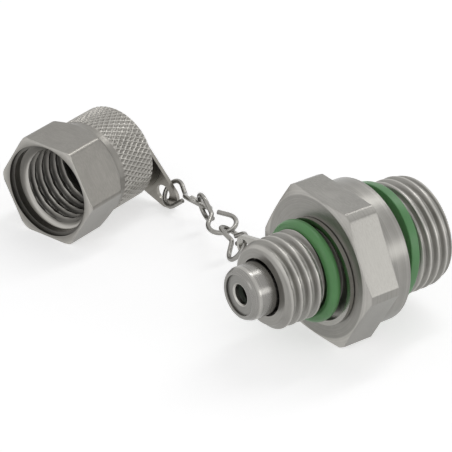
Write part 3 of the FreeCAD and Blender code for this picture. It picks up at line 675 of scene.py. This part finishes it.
@dataclass
class Fitting:
    """The screw-in fitting: its body, nose, seals and the ring for the chain."""

    placed: Placed = Placed(Vector((0, 0, 0)))
    columns: int = 240
    nose_columns: int = 180
    disc_columns: int = 144
    row_step: float = 0.06
    front_face: float = -22.65
    nose_gap: float = 5.26
    nose_gap_end: float = -20.8
    insert_bore: float = 4.25
    insert_bore_end: float = -8.7
    passage: float = 2.2
    passage_end: float = -6.12
    port_bore: float = 4.5
    port_bore_end: float = -4.82
    port_bore_chamfer: float = 0.3
    test_thread: Thread = Thread(crest=7.95, depth=0.95, pitch=2.0, phase=0.868)
    lead_in: float = 6.85
    lead_in_slope: float = 1.35
    thread_end: float = -14.4
    groove: float = 6.95
    groove_end: float = -11.8
    collar: float = 7.65
    hexagon: Hexagon = Hexagon(flats=26.7, corner=14.977, blend=0.05)
    hex_front: float = -10.75
    hex_back: float = -4.15
    hex_face: float = 13.15
    hex_slope: float = 0.268
    hex_rounding: float = 0.14
    hex_back_rounding: tuple[float, float] = (0.15, 0.12)
    chamfer_margin: float = 0.25
    chamfer_start: float = 0.10
    # Painted highlight on the front edge and the chamfer
    chamfer_highlight: float = 0.4
    flange: float = 13.2
    seal_groove: float = 11.75
    seal_groove_depth: float = 1.05
    # Painted light that brightens the shaded seal groove
    seal_groove_light: float = 0.6
    relief: float = 9.3
    relief_end: float = 4.5
    stud_thread: Thread = Thread(crest=10.336, depth=0.88, pitch=1.814, phase=0.116)
    stud_start_slope: float = 1.2
    stud_end: float = 12.18
    stud_end_radius: float = 9.793
    stud_taper: float = 0.323
    nose_tip: float = -27.54
    nose: float = 4.87
    nose_highlight: float = 0.35
    lip: float = 3.66
    lip_thickness: float = 0.4
    insert_end: float = -9.91
    insert_clearance: float = 0.05
    spring_bore: float = 3.2
    ring_groove: float = 3.5
    ring_groove_back: float = -10.41
    ring_groove_front: float = -11.21
    valve_seat: float = -21.99
    guide: float = 1.56
    guide_front: float = -24.39
    pocket: float = 4.0
    disc_hole: float = 1.78
    disc_mouth: float = 2.02
    disc_mouth_depth: float = 0.30
    disc_mouth_highlight: float = 0.6
    section_columns: int = 40
    port_ring: tuple[float, float, float] = (9.65, 11.4, 1.98)
    port_ring_placed: Placed = Placed(Vector((1.93, 0, 0)), 0.0, math.radians(8.8), math.radians(14.9))

    def lead_in_radius(self, x: float) -> float:
        """Radius of the chamfer that leads into the test thread, at a place along the axis."""
        return self.lead_in + (x - self.front_face) * self.lead_in_slope

    def stud_radius(self, x: float) -> float:
        """Give the largest radius where the stud's thread starts and ends.

        Args:
            x: Place along the axis.

        Returns:
            The radius.
        """
        rising = self.relief + 0.05 + (x - self.relief_end) * self.stud_start_slope
        falling = self.stud_end_radius + (self.stud_end - x) * self.stud_taper
        return min(rising, falling)

    def build_body(self) -> Piece:
        """Build the body with its hexagon and both threads.

        Returns:
            The body.
        """
        skin = Skin(self.columns, self.hexagon.corner_angles())
        skin.path([
            (self.front_face, self.nose_gap, 0),
            (self.front_face, self.nose_gap + 0.2, 0),
            (self.front_face, self.lead_in - 0.25, 0),
            (self.front_face, self.lead_in - 0.10, 0),
        ])
        start = self.front_face + 0.05
        self.test_thread.rows(skin, start, self.thread_end, self.row_step, self.lead_in_radius)
        skin.path([
            (self.thread_end, self.groove + 0.05, 0),
            (self.thread_end, self.groove, 0.1),
            (self.groove_end, self.groove, 0.1),
            (self.groove_end, self.collar, 0.2),
            (self.hex_front, self.collar, 0.1),
            (self.hex_front, self.hex_face - 1.5, 0),
        ], 3)
        self.add_hexagon(skin)
        skin.path([
            (self.hex_back, self.flange - 0.3, 0),
            (self.hex_back + 0.02, self.flange, 0.12),
            (0.0, self.flange, 0.3),
            (0.0, self.seal_groove + 0.15, 0),
        ], 4)
        # The seal groove is brightened with painted light where it lies in shade
        skin.path([
            (0.0, self.seal_groove + 0.12, 0),
            (0.0, self.seal_groove, 0.08),
            (-self.seal_groove_depth, self.seal_groove, 0.1),
            (-self.seal_groove_depth, self.relief, 0.1),
            (self.relief_end, self.relief, 0),
        ], 4, self.seal_groove_light)
        self.stud_thread.rows(
            skin, self.relief_end + 0.05, self.stud_end - 0.02, self.row_step, self.stud_radius
        )
        skin.path([
            (self.stud_end, self.stud_end_radius - 0.25, 0),
            (self.stud_end, self.port_bore + self.port_bore_chamfer + 0.1, 0),
            (self.stud_end, self.port_bore + self.port_bore_chamfer, 0),
            (self.stud_end - self.port_bore_chamfer, self.port_bore, 0.1),
            (self.port_bore_end, self.port_bore, 0.1),
            (self.passage_end, self.passage, 0.1),
            (self.insert_bore_end, self.passage, 0.1),
            (self.insert_bore_end, self.insert_bore, 0.1),
            (self.nose_gap_end, self.insert_bore, 0.05),
            (self.nose_gap_end, self.nose_gap, 0.1),
            (self.front_face + 0.2, self.nose_gap, 0),
        ], 2)
        return skin.build("body_turning", self.placed)

    def add_hexagon(self, skin: Skin) -> None:
        """Add the hexagon's rows, with the turned chamfer on its front.

        Args:
            skin: The body's skin.
        """
        edge = self.hexagon.radius(skin.angles)
        slope = self.hex_slope
        chamfer_x = self.hex_front + (edge - self.hex_face) * slope
        start = self.chamfer_start * np.minimum(1, edge - self.hex_face)
        # The front edge and the chamfer get a painted highlight
        skin.hang(
            (self.hex_front, self.hex_face - self.chamfer_margin),
            (self.hex_front, self.hex_face),
            (self.hex_front + slope * start, self.hex_face + start),
            painted_light=(0.0, self.chamfer_highlight),
        )
        skin.hang(
            (chamfer_x - self.hex_rounding * slope, edge - self.hex_rounding),
            (chamfer_x, edge),
            (chamfer_x + self.hex_rounding, edge),
            painted_light=(self.chamfer_highlight, 0.0),
        )
        for share in (0.25, 0.5, 0.75):
            skin.row(chamfer_x + (self.hex_back - chamfer_x) * share, edge)
        along, inward = self.hex_back_rounding
        skin.hang((self.hex_back - along, edge), (self.hex_back, edge), (self.hex_back, edge - inward))

    def build_nose(self) -> Piece:
        """Build the sleeve that stands out of the test thread, with its rolled lip.

        Returns:
            The nose sleeve.
        """
        sleeve = self.insert_bore - self.insert_clearance
        lip_back = self.nose_tip + self.lip_thickness
        skin = Skin(self.nose_columns)
        skin.path([
            (self.nose_tip + 0.35, self.lip, 0),
            (self.nose_tip + 0.12, self.lip, 0.12),
            (self.nose_tip, self.lip + 0.2, 0.12),
            (self.nose_tip, self.nose - 0.8, 0.1),
            (self.nose_tip + 0.3, self.nose - 0.4, 0.25),
            (self.nose_tip + 0.9, self.nose - 0.15, 0),
        ], 4)
        # A ring of painted highlight on the nose behind its lip
        skin.path([
            (self.nose_tip + 1.1, self.nose - 0.06, 0),
            (self.nose_tip + 1.3, self.nose, 0),
            (self.nose_tip + 1.5, self.nose, 0),
        ], 2, self.nose_highlight)
        skin.path([
            (self.nose_tip + 1.7, self.nose, 0),
            (self.nose_gap_end, self.nose, 0.05),
            (self.nose_gap_end, sleeve, 0.05),
            (self.insert_end, sleeve, 0.2),
            (self.insert_end, self.spring_bore, 0.1),
            (self.ring_groove_back, self.spring_bore, 0),
            (self.ring_groove_back, self.ring_groove, 0),
            (self.ring_groove_front, self.ring_groove, 0),
            (self.ring_groove_front, self.spring_bore, 0),
            (self.valve_seat, self.spring_bore, 0.05),
            (self.valve_seat, self.guide, 0.05),
            (self.guide_front, self.guide, 0.05),
            (self.guide_front, self.pocket, 0.05),
            (lip_back, self.pocket, 0.05),
            (lip_back, self.lip, 0),
        ], 4)
        return skin.build("nose_sleeve", self.placed)

    def build_disc(self) -> Piece:
        """Build the pressed-in disc with the probe hole and a painted highlight on its edge.

        Returns:
            The disc.
        """
        low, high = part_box("nose_disc")
        front, back, rim = low.x / MM, high.x / MM, high.y / MM
        skin = Skin(self.disc_columns)
        # Painted highlight round the hole's mouth
        skin.path([
            (front + self.disc_mouth_depth, self.disc_hole + 0.04, 0),
            (front, self.disc_mouth, 0.05),
            (front, self.disc_mouth + 0.03, 0),
        ], 3, self.disc_mouth_highlight)
        skin.path([
            (front, self.disc_mouth + 0.10, 0),
            (front, rim, 0.15),
            (back, rim, 0.1),
            (back, self.disc_hole, 0.1),
            (back - 0.1, self.disc_hole, 0),
        ], 3)
        return skin.build("probe_disc", self.placed)

    def build_dust_ring(self) -> Piece:
        """Build the round green ring between the test thread and the collar.

        Returns:
            The ring.
        """
        low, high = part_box("dust_ring")
        middle, section = (low.x + high.x) / 2 / MM, (high.x - low.x) / 2 / MM
        mean = high.z / MM - section
        skin = Skin(self.columns)
        for angle in np.arange(self.section_columns) * (FULL_TURN / self.section_columns):
            skin.row(middle - section * math.cos(angle), mean + section * math.sin(angle))
        return skin.build("dust_seal", self.placed)

    def build_port_ring(self) -> Piece:
        """Build the green ring that leans loosely on the stud behind the flange.

        Returns:
            The ring.
        """
        inner, outer, height = self.port_ring
        half = height / 2
        skin = Skin(self.columns)
        skin.path([
            (-half + 0.3, inner, 0),
            (-half, inner, 0.12),
            (-half, outer, 0.25),
            (half, outer, 0.35),
            (half, inner, 0.15),
            (-half + 0.4, inner, 0),
        ], 5)
        return skin.build("port_ring", self.port_ring_placed)


@dataclass
class Cap:
    """The protective cap: nut end, neck, knurled barrel, boss and threaded inside."""

    placed: Placed
    teeth: int = 54
    columns_per_tooth: int = 8
    rivet_columns: int = 96
    hexagon: Hexagon = Hexagon(flats=19.0, corner=10.80, blend=0.10)
    hex_length: float = 8.58
    hex_runout: float = 10.33
    face: float = 0.07
    face_margin: float = 0.45
    chamfer_margin: float = 0.55
    chamfer_slope: float = 0.55
    chamfer_range: tuple[float, float] = (0.08, 1.0)
    chamfer_highlight: float = 0.4
    neck: float = 9.1
    neck_end: float = 12.0
    barrel: float = 9.246
    barrel_margin: float = 0.2
    barrel_rise: float = 1.2
    barrel_fall: tuple[float, float] = (0.45, 0.9)
    length: float = 20.235
    boss: float = 4.9
    boss_end: float = 22.3
    rivet: float = 1.6
    rivet_depth: float = 3.2
    rivet_head: tuple[float, float] = (1.0, 2.1)
    rivet_rim: float = 3.2
    rivet_crown: float = 0.8
    mouth: float = 9.0
    mouth_depth: float = 0.9
    mouth_shade: float = -0.5
    band: float = 8.45
    band_end: float = 2.3
    # The inside thread gets painted highlights on its crests and painted shade in its roots
    thread: Thread = Thread(crest=6.918, depth=1.0, pitch=2.0, inside=True, crest_highlight=0.55, root_shade=0.8)
    thread_end: float = 13.2
    thread_step: float = 0.12
    countersink_depth: float = 0.75
    countersink_slope: float = 1.9
    undercut: float = 8.1
    depth: float = 15.9
    knurl_rows: int = 62
    knurl_depth: float = 0.22
    knurl_angle: float = 30.0
    ridge_start: float = 0.5
    ridge_flank: float = 0.35
    ridge_blend: float = 0.05
    ridge_highlight: float = 0.45
    cell_shade: float = 0.60

    def countersink(self, x: float) -> float:
        """Radius of the countersink in front of the thread, at a place along the axis."""
        depth = max(0.0, self.band_end + self.countersink_depth - x)
        return self.thread.crest + depth * self.countersink_slope

    def knurl(self, x: float, angles: np.ndarray) -> np.ndarray:
        """Depth of the cells between the crossed knurl ridges.

        Args:
            x: Place along the axis from the mouth.
            angles: Angles round the axis.

        Returns:
            Depth of the cells at each angle, from 0 to 1.
        """
        round_share = angles / FULL_TURN * self.teeth
        pitch = FULL_TURN * self.barrel / self.teeth
        along = x * math.tan(math.radians(self.knurl_angle)) / pitch
        left = np.abs((round_share + along) % 1.0 - 0.5) * 2
        right = np.abs((round_share - along) % 1.0 - 0.5) * 2
        ridge = np.maximum(left, right)
        return 1 - np.clip((ridge - self.ridge_start) / self.ridge_flank, 0, 1)

    def build_body(self) -> Piece:
        """Build the cap's body.

        Returns:
            The cap body.
        """
        skin = Skin(self.teeth * self.columns_per_tooth)
        self.add_nut(skin)
        skin.path([
            (self.hex_runout - 0.05, self.neck + 0.05, 0),
            (self.hex_runout + 0.1, self.neck, 0),
            (self.neck_end - 0.25, self.neck, 0),
        ], 3)
        self.add_barrel(skin)
        skin.path([
            (self.length, self.barrel - 0.8, 0),
            (self.length, self.boss, 0.1),
            (self.boss_end, self.boss, 0.25),
            (self.boss_end, self.rivet + 0.1, 0),
            (self.boss_end, self.rivet, 0),
            (self.boss_end - self.rivet_depth, self.rivet, 0),
            (self.boss_end - self.rivet_depth, CENTRE, 0),
        ], 3)
        self.add_inside(skin)
        return skin.build("cap_turning", self.placed)

    def add_nut(self, skin: Skin) -> None:
        """Add the rows of the mouth's edge, with painted shade, and of the nut with its chamfered front and
        runout, with painted highlights on the front and the chamfer.

        Args:
            skin: The cap's skin.
        """
        edge = self.hexagon.radius(skin.angles)
        # Painted highlight on the front's edge and on the chamfer
        highlight = (self.chamfer_highlight, self.chamfer_highlight)
        # Painted shade at the mouth's edge
        skin.row(0.16, self.mouth, self.mouth_shade)
        skin.path([(0.14, self.mouth, 0), (self.face, self.mouth + 0.12, 0)])
        front = np.minimum(edge, self.hexagon.corner - self.face_margin)
        past = (self.face + 0.04, front + 0.04 * (edge > front))
        skin.hang((self.face, front - 0.15), (self.face, front), past, painted_light=highlight)
        reach = (edge - (self.hexagon.corner - self.chamfer_margin)) * self.chamfer_slope
        chamfer_x = np.clip(reach, *self.chamfer_range)
        skin.hang((chamfer_x - 0.05, edge - 0.06), (chamfer_x, edge), (chamfer_x + 0.12, edge), painted_light=highlight)
        skin.row(chamfer_x + 0.22, edge)
        fall = (self.hexagon.corner - self.neck) / (self.hex_runout - self.hex_length)
        cone_x = self.hex_length + (self.hexagon.corner - edge) / fall
        for share in (0.25, 0.5, 0.75):
            skin.row(chamfer_x + (cone_x - chamfer_x) * share, edge)
        skin.hang((cone_x - 0.15, edge), (cone_x, edge), (cone_x + 0.12 / fall, edge - 0.12))

    def add_barrel(self, skin: Skin) -> None:
        """Add the rows of the knurled barrel, with painted highlights on the ridges and painted shade in the
        cells.

        Args:
            skin: The cap's skin.
        """
        start = self.neck_end - self.barrel_margin
        edge_drop, edge_slope = self.barrel_fall
        for index in range(self.knurl_rows + 1):
            x = start + (self.length - start) * index / self.knurl_rows
            cells = self.knurl(x, skin.angles)
            rising = self.neck + (x - start) * self.barrel_rise
            falling = self.barrel - edge_drop + (self.length - x) * edge_slope
            radius = smallest(self.barrel - cells * self.knurl_depth, min(rising, falling), self.ridge_blend)
            # Painted highlight on the ridges, painted shade in the cells
            skin.row(x, radius, self.ridge_highlight - self.cell_shade * cells)

    def add_inside(self, skin: Skin) -> None:
        """Add the rows of the bottom, the undercut, the thread and the wide mouth.

        Args:
            skin: The cap's skin.
        """
        skin.path([
            (self.depth, CENTRE, 0),
            (self.depth, self.undercut, 0.2),
            (self.thread_end, self.undercut, 0.1),
            (self.thread_end, self.thread.crest + self.thread.depth + 0.1, 0),
        ], 3)
        start, end = self.thread_end - 0.02, self.band_end + 0.02
        self.thread.rows(skin, start, end, self.thread_step, self.countersink)
        skin.path([
            (self.band_end, self.band - 0.05, 0),
            (self.band_end - 0.2, self.band, 0),
            (self.mouth_depth + 0.15, self.band, 0),
        ], 2)
        # Painted shade on the mouth's wall
        skin.path([
            (self.mouth_depth + 0.1, self.band, 0),
            (self.mouth_depth, self.band, 0.08),
            (self.mouth_depth, self.mouth, 0.08),
            (0.2, self.mouth, 0),
        ], 2, self.mouth_shade)

    def build_rivet(self) -> Piece:
        """Build the domed rivet.

        Returns:
            The rivet.
        """
        head, top = (self.boss_end + reach for reach in self.rivet_head)
        foot = self.boss_end - self.rivet_depth + 0.05
        skin = Skin(self.rivet_columns)
        skin.path([
            (foot, CENTRE, 0),
            (foot, self.rivet - 0.05, 0.1),
            (head, self.rivet, 0.05),
            (head, self.rivet_rim, 0.2),
            (head + 0.45, self.rivet_rim - 0.1, 0.4),
            (top - 0.15, self.rivet_rim - 1.0, 0.6),
            (top, self.rivet_crown, 0.5),
            (top, CENTRE, 0),
        ], 5)
        return skin.build("rivet_head", self.placed)


@dataclass
class Spring:
    """The valve's coil spring, which is pressed together when the pin slides in."""

    turns: float = 4.5
    wire: float = 0.4
    sides: int = 20
    steps_per_turn: int = 40
    start_angle: float = -math.pi / 2

    def build(self) -> Piece:
        """Build the spring where its CAD node lies.

        Returns:
            The spring.
        """
        low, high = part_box("valve_spring")
        start, finish = low.x / MM + self.wire, high.x / MM - self.wire
        radius = high.y / MM - self.wire
        share = np.linspace(0, 1, round(self.turns * self.steps_per_turn) + 1)[:, None, None]
        turn = self.start_angle + share * self.turns * FULL_TURN
        lead = (finish - start) / (self.turns * FULL_TURN * radius)
        round_wire = np.arange(self.sides)[None, :, None] * (FULL_TURN / self.sides)
        outward = np.concatenate([0 * turn, np.cos(turn), np.sin(turn)], axis=2)
        sideways = np.concatenate([0 * turn + 1, lead * np.sin(turn), -lead * np.cos(turn)], axis=2)
        sideways = sideways / math.hypot(1, lead)
        along = np.concatenate([start + share * (finish - start), 0 * turn, 0 * turn], axis=2)
        section = np.cos(round_wire) * outward + np.sin(round_wire) * sideways
        points = outward * radius + along + self.wire * section
        rings = len(share)
        ends = [list(range(self.sides)), list(reversed(range((rings - 1) * self.sides, rings * self.sides)))]
        mesh = bpy.data.meshes.new("coil_spring")
        faces = ring_faces(rings, self.sides, rings - 1) + ends
        mesh.from_pydata((points.reshape(-1, 3) * MM).tolist(), [], faces)
        mesh.shade_smooth()
        return new_object("coil_spring", mesh)

    def press(self, spring: Piece) -> None:
        """Give the spring a mesh of its own; it keeps its length.

        Args:
            spring: The spring.
        """
        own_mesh(spring)


class Dresser:
    """Hangs pieces on their bodies and gives every piece its finish."""

    def __init__(self, frame: dict) -> None:
        """Note the frame's nodes and slots.
        """
        self.nodes = frame["nodes"]
        self.slots = {row["node"]: row["material_slot"] for row in frame["record"]["subparts"]}
        bodies = frame["record"]["behaviour"]["bodies"]
        self.body_of = {node: body for body, members in bodies.items() for node in members}
        self.made: dict[tuple[TurnedSteel | Rubber, float], bpy.types.Material] = {}

    def material(self, node: str, placed: Placed) -> bpy.types.Material:
        """The material of a node's finish in a frame, made once.

        Args:
            node: The CAD node, for its slot.
            placed: The frame of the turning axis.

        Returns:
            The material.
        """
        finish = OWN_FINISHES.get(node) or FINISHES[Finish(self.slots[node])]
        key = (finish, placed.turn)
        if key not in self.made:
            self.made[key] = finish.material(placed)
        return self.made[key]

    def stand_in(self, piece: Piece, node: str, placed: Placed) -> None:
        """Let a piece replace a CAD node and take its finish.

        Args:
            piece: The new piece.
            node: The CAD node that it stands for.
            placed: The frame of the turning axis.
        """
        piece.data.materials.append(self.material(node, placed))
        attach(piece, self.body_of[node])
        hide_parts(node)
        LOG.info("%s stands for %s with %d faces", piece.name, node, len(piece.data.polygons))

    def dress(self, node: str, placed: Placed) -> None:
        """Give a CAD node its finish.

        Args:
            node: The CAD node.
            placed: The frame of the turning axis.
        """
        piece = self.nodes[node]
        piece.data.materials.clear()
        piece.data.materials.append(self.material(node, placed))
        LOG.info("%s keeps its form", node)


@dataclass(frozen=True)
class Lamp:
    """A soft rectangular lamp, placed from the spot that it faces, in metres."""

    name: str
    place: Spot
    size: tuple[float, float]
    watts: float

    def build(self, aim: Vector) -> None:
        """Hang the lamp.

        Args:
            aim: The spot that the lamp faces.
        """
        data = bpy.data.lights.new(self.name, "AREA")
        data.shape = "RECTANGLE"
        data.size, data.size_y = self.size
        data.energy = self.watts
        away = Vector(self.place).normalized()
        long_side = (Vector((1, 0, 0)) - away * away.x).normalized()
        axes = Matrix((long_side, away.cross(long_side), away)).transposed()
        lamp = new_object(self.name, data)
        lamp.matrix_world = Matrix.Translation(aim + Vector(self.place)) @ axes.to_4x4()


@dataclass
class Studio:
    """The camera, the soft lamps, the pale floor and the surroundings, in metres."""

    camera_place: Spot = (-0.295375, -0.347745, 0.266035)
    camera_right: Spot = (0.80012533, -0.59967087, 0.01393958)
    camera_up: Spot = (0.28923467, 0.4060689, 0.86686294)
    camera_back: Spot = (-0.52549288, -0.68956718, 0.49835162)
    lens: float = 238.94
    sensor: float = 36.0
    view_start: float = 0.01
    view_end: float = 10.0
    aim: Spot = (-0.012, 0.025, -0.002)
    lamps: tuple[Lamp, ...] = (
        Lamp("lamp_over", (0.342, 0.097, 0.544), (0.60, 0.09), 0.8),
        Lamp("lamp_right", (0.342, -0.53, 0.16), (0.50, 0.20), 0.5),
        Lamp("lamp_left", (-0.50, -0.20, 0.40), (0.30, 0.30), 0.25),
    )
    table: float = -0.01335
    floor_reach: float = 2.0
    floor_colour: Colour = (0.80, 0.80, 0.80)
    floor_glow: float = 0.55
    sky_low: Colour = (0.85, 0.85, 0.84)
    sky_high: Colour = (0.34, 0.34, 0.35)
    sky_strength: float = 0.8
    white: Colour = (1.0, 1.0, 1.0)

    def build_camera(self) -> None:
        """Set the camera at the photograph's viewing angle."""
        data = bpy.data.cameras.new("camera")
        data.lens = self.lens
        data.sensor_width = self.sensor
        data.clip_start = self.view_start
        data.clip_end = self.view_end
        camera = new_object("camera", data)
        axes = Matrix((self.camera_right, self.camera_up, self.camera_back)).transposed()
        camera.matrix_world = Matrix.Translation(self.camera_place) @ axes.to_4x4()
        bpy.context.scene.camera = camera

    def build_floor(self) -> None:
        """Lay the pale floor, which looks white and keeps the object's shadow."""
        mesh = bpy.data.meshes.new("floor")
        reach = self.floor_reach
        edges = ((-reach, -reach), (reach, -reach), (reach, reach), (-reach, reach))
        corners = [(x, y, self.table) for x, y in edges]
        mesh.from_pydata(corners, [], [(0, 1, 2, 3)])
        nodes = Nodes(bpy.data.materials.new("floor_white"))
        strength = nodes.math("MULTIPLY", nodes.background_rays(), self.floor_glow)
        diffuse = nodes.add("ShaderNodeBsdfDiffuse", {"Color": (*self.floor_colour, 1.0)})
        glow = nodes.add("ShaderNodeEmission", {"Strength": strength})
        total = nodes.add("ShaderNodeAddShader", {0: diffuse.outputs[0], 1: glow.outputs[0]})
        mesh.materials.append(nodes.finish(total.outputs[0]))
        new_object("floor", mesh)

    def build_world(self) -> None:
        """Surround the scene: white as a background, a soft studio sky as light on the object."""
        nodes = Nodes(bpy.data.worlds.new("studio"))
        parts = nodes.add("ShaderNodeSeparateXYZ", {0: nodes.add("ShaderNodeTexCoord").outputs["Generated"]})
        height = nodes.add("ShaderNodeValToRGB", {"Fac": parts.outputs["Z"]})
        for end, colour in zip(height.color_ramp.elements, (self.sky_low, self.sky_high)):
            end.color = (*colour, 1.0)
        sky = {"Color": height.outputs["Color"], "Strength": self.sky_strength}
        white = {"Color": (*self.white, 1.0), "Strength": 1.0}
        lights = [nodes.add("ShaderNodeBackground", light).outputs[0] for light in (sky, white)]
        inputs = {"Fac": nodes.background_rays(), 1: lights[0], 2: lights[1]}
        bpy.context.scene.world = nodes.finish(nodes.add("ShaderNodeMixShader", inputs).outputs[0])

    def build(self) -> None:
        """Build the whole studio."""
        bpy.context.scene.view_settings.view_transform = "Standard"
        self.build_camera()
        self.build_floor()
        self.build_world()
        for lamp in self.lamps:
            lamp.build(Vector(self.aim))


def cap_frame(frame: dict) -> Placed:
    """The cap's frame, with its origin at the mouth.


    Returns:
        The cap's frame.
    """
    mount = next(row for row in frame["record"]["mounts"] if row["name"] == "cap_thread")
    inward = -Vector(mount["axis"])
    half = mount["dims"]["length_mm"] / 2
    thread_start = Cap.band_end + (Cap.band - Cap.thread.crest) / 2
    mouth = Vector(mount["pos_m"]) / MM - inward * (half + thread_start)
    return Placed(mouth, math.atan2(inward.y, inward.x))


def main() -> None:
    """Load the frame, build the pieces, dress them and light them."""
    logging.basicConfig(level=logging.INFO, format="%(message)s")
    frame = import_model()
    dresser = Dresser(frame)
    Studio().build()
    fitting = Fitting()
    cap = Cap(cap_frame(frame))
    spring = Spring()
    replaced = {
        "coupling_body": (fitting.build_body(), fitting.placed),
        "valve_insert": (fitting.build_nose(), fitting.placed),
        "nose_disc": (fitting.build_disc(), fitting.placed),
        "dust_ring": (fitting.build_dust_ring(), fitting.placed),
        "port_seal": (fitting.build_port_ring(), fitting.placed),
        "cap_body": (cap.build_body(), cap.placed),
        "cap_rivet": (cap.build_rivet(), cap.placed),
        "valve_spring": (spring.build(), fitting.placed),
    }
    for node, (piece, placed) in replaced.items():
        dresser.stand_in(piece, node, placed)
    spring.press(replaced["valve_spring"][0])
    for node in dresser.nodes:
        if node not in replaced:
            dresser.dress(node, cap.placed if node.startswith("cap") else fitting.placed)


if __name__ == "__main__":
    main()
